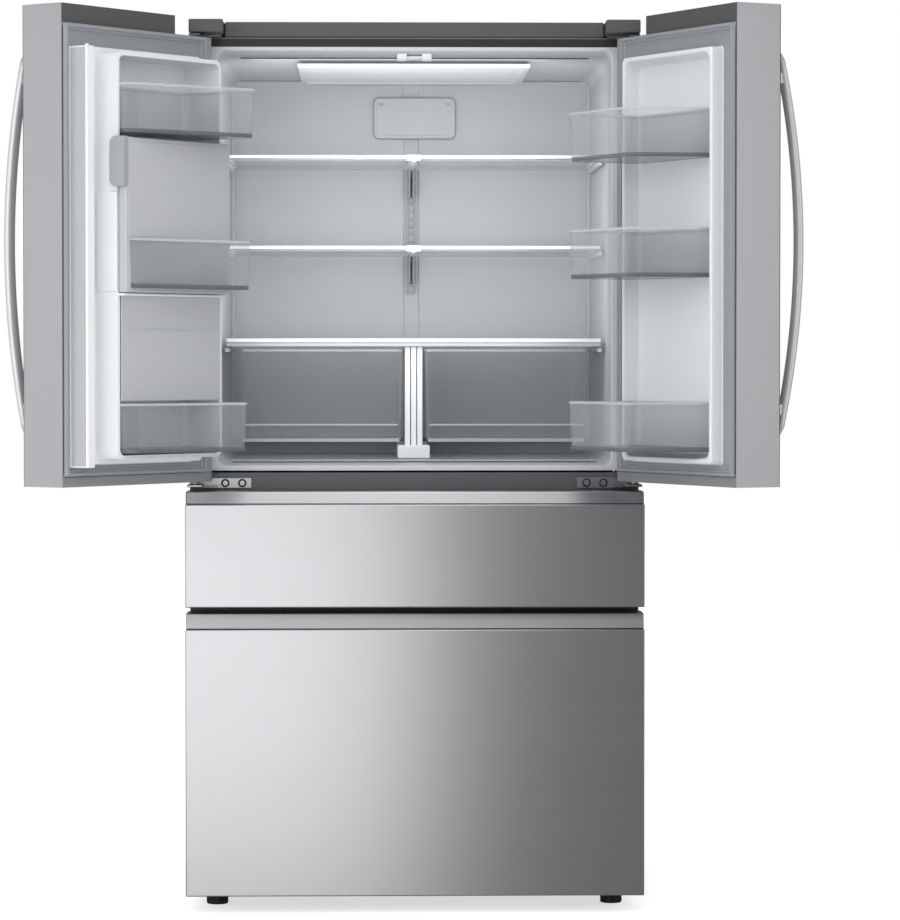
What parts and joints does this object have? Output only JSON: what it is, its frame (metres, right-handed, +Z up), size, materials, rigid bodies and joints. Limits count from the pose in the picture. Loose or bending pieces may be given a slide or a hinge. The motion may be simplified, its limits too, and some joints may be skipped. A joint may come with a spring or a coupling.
{
  "type": "french door refrigerator",
  "caption": "French door refrigerator with in-door ice compartment, glass shelves, crispers, a middle drawer and a bottom freezer drawer.",
  "frame": {"origin": "middle of the footprint on the floor, measured round the open doors and their handles", "axes": "+Z up, the front faces -Y, +X to the right as seen from the front"},
  "size_m": [1.5375, 1.194, 1.782],
  "materials": {
    "case_paint": "textured grey powder coat",
    "plated_steel": "zinc plated pressed steel",
    "liner_grey": "satin thermoformed grey plastic",
    "dark_trim": "moulded dark grey plastic",
    "grey_trim": "moulded mid grey plastic",
    "black_plastic": "moulded black plastic",
    "white_plastic": "satin white plastic",
    "shelf_glass": "tempered glass with white trims",
    "cover_glass": "glass in a light plastic frame",
    "clear_plastic": "clear moulded polystyrene",
    "stainless": "brushed stainless steel",
    "flip_bar_plastic": "plastic bar with a steel face",
    "handle_metal": "satin polished metal",
    "seal": "magnetic vinyl seal",
    "compressor_can": "black painted can"
  },
  "bodies": {
    "cabinet": {"outer_case": "case_paint", "back_panel": "case_paint", "base_frame": "plated_steel", "machine_cover": "plated_steel", "fridge_liner": "liner_grey", "lower_liner": "liner_grey", "compartment_divider": "black_plastic", "mid_rail": "dark_trim", "top_cover": "grey_trim", "top_hinge_left": "plated_steel", "top_hinge_right": "plated_steel", "hinge_cover_left": "grey_trim", "hinge_cover_right": "grey_trim", "mid_hinge_left": "plated_steel", "mid_hinge_right": "plated_steel", "mullion_guide": "white_plastic", "ceiling_lamp": "white_plastic", "air_duct": "liner_grey", "air_filter_cover": "white_plastic", "upper_shelf_left": "shelf_glass", "upper_shelf_right": "shelf_glass", "middle_shelf_left": "shelf_glass", "middle_shelf_right": "shelf_glass", "crisper_cover": "cover_glass", "crisper_divider": "white_plastic", "compressor": "compressor_can", "front_foot_left": "black_plastic", "front_foot_right": "black_plastic", "rear_roller_left": "black_plastic", "rear_roller_right": "black_plastic"},
    "door_left": {"door_left_skin": "stainless", "door_left_liner": "white_plastic", "door_left_top_cap": "grey_trim", "door_left_bottom_cap": "grey_trim", "door_left_gasket": "seal", "handle_left": "handle_metal", "door_left_top_bin": "clear_plastic", "door_left_bottom_bin": "clear_plastic", "ice_housing": "white_plastic", "ice_bucket": "clear_plastic", "dispenser_recess": "black_plastic"},
    "door_right": {"door_right_skin": "stainless", "door_right_liner": "white_plastic", "door_right_top_cap": "grey_trim", "door_right_bottom_cap": "grey_trim", "door_right_gasket": "seal", "handle_right": "handle_metal", "door_right_upper_bin": "clear_plastic", "door_right_middle_bin": "clear_plastic", "door_right_lower_bin": "clear_plastic"},
    "flip_bar": {"mullion_bar": "flip_bar_plastic"},
    "ice_door": {"ice_door": "white_plastic", "ice_door_bin": "clear_plastic"},
    "dispenser_paddle": {"dispenser_paddle": "grey_trim"},
    "middle_drawer": {"middle_drawer_front": "stainless", "middle_drawer_tub": "white_plastic"},
    "freezer_drawer": {"freezer_drawer_front": "stainless", "freezer_drawer_basket": "white_plastic"},
    "crisper_left": {"crisper_left": "clear_plastic"},
    "crisper_right": {"crisper_right": "clear_plastic"}
  },
  "joints": [
    {"name": "door_left_hinge", "type": "hinge", "parent": "cabinet", "child": "door_left", "pos_m": [-0.41489, -0.19004, 1.3], "axis": [0, 0, -1], "range_deg": [-126.8, 3.2]},
    {"name": "door_right_hinge", "type": "hinge", "parent": "cabinet", "child": "door_right", "pos_m": [0.46511, -0.19004, 1.3], "axis": [0, 0, 1], "range_deg": [-116.5, 13.5]},
    {"name": "flip_bar_hinge", "type": "hinge", "parent": "door_left", "child": "flip_bar", "pos_m": [-0.63125, -0.5527, 1.3], "axis": [0, 0, 1], "range_deg": [-90, 0]},
    {"name": "ice_door_hinge", "type": "hinge", "parent": "door_left", "child": "ice_door", "pos_m": [-0.35134, -0.30876, 1.38], "axis": [0, 0, 1], "range_deg": [0, 95]},
    {"name": "dispenser_paddle_press", "type": "hinge", "parent": "door_left", "child": "dispenser_paddle", "pos_m": [-0.56089, -0.34932, 1.205], "axis": [-0.599, -0.8007, 0], "range_deg": [0, 12], "stiffness_Nm_per_rad": 0.6},
    {"name": "middle_drawer_slide", "type": "slide", "parent": "cabinet", "child": "middle_drawer", "axis": [0, -1, 0], "range_m": [0, 0.4]},
    {"name": "freezer_drawer_slide", "type": "slide", "parent": "cabinet", "child": "freezer_drawer", "axis": [0, -1, 0], "range_m": [0, 0.4]},
    {"name": "crisper_left_slide", "type": "slide", "parent": "cabinet", "child": "crisper_left", "axis": [0, -1, 0], "range_m": [0, 0.26]},
    {"name": "crisper_right_slide", "type": "slide", "parent": "cabinet", "child": "crisper_right", "axis": [0, -1, 0], "range_m": [0, 0.26]}
  ]
}
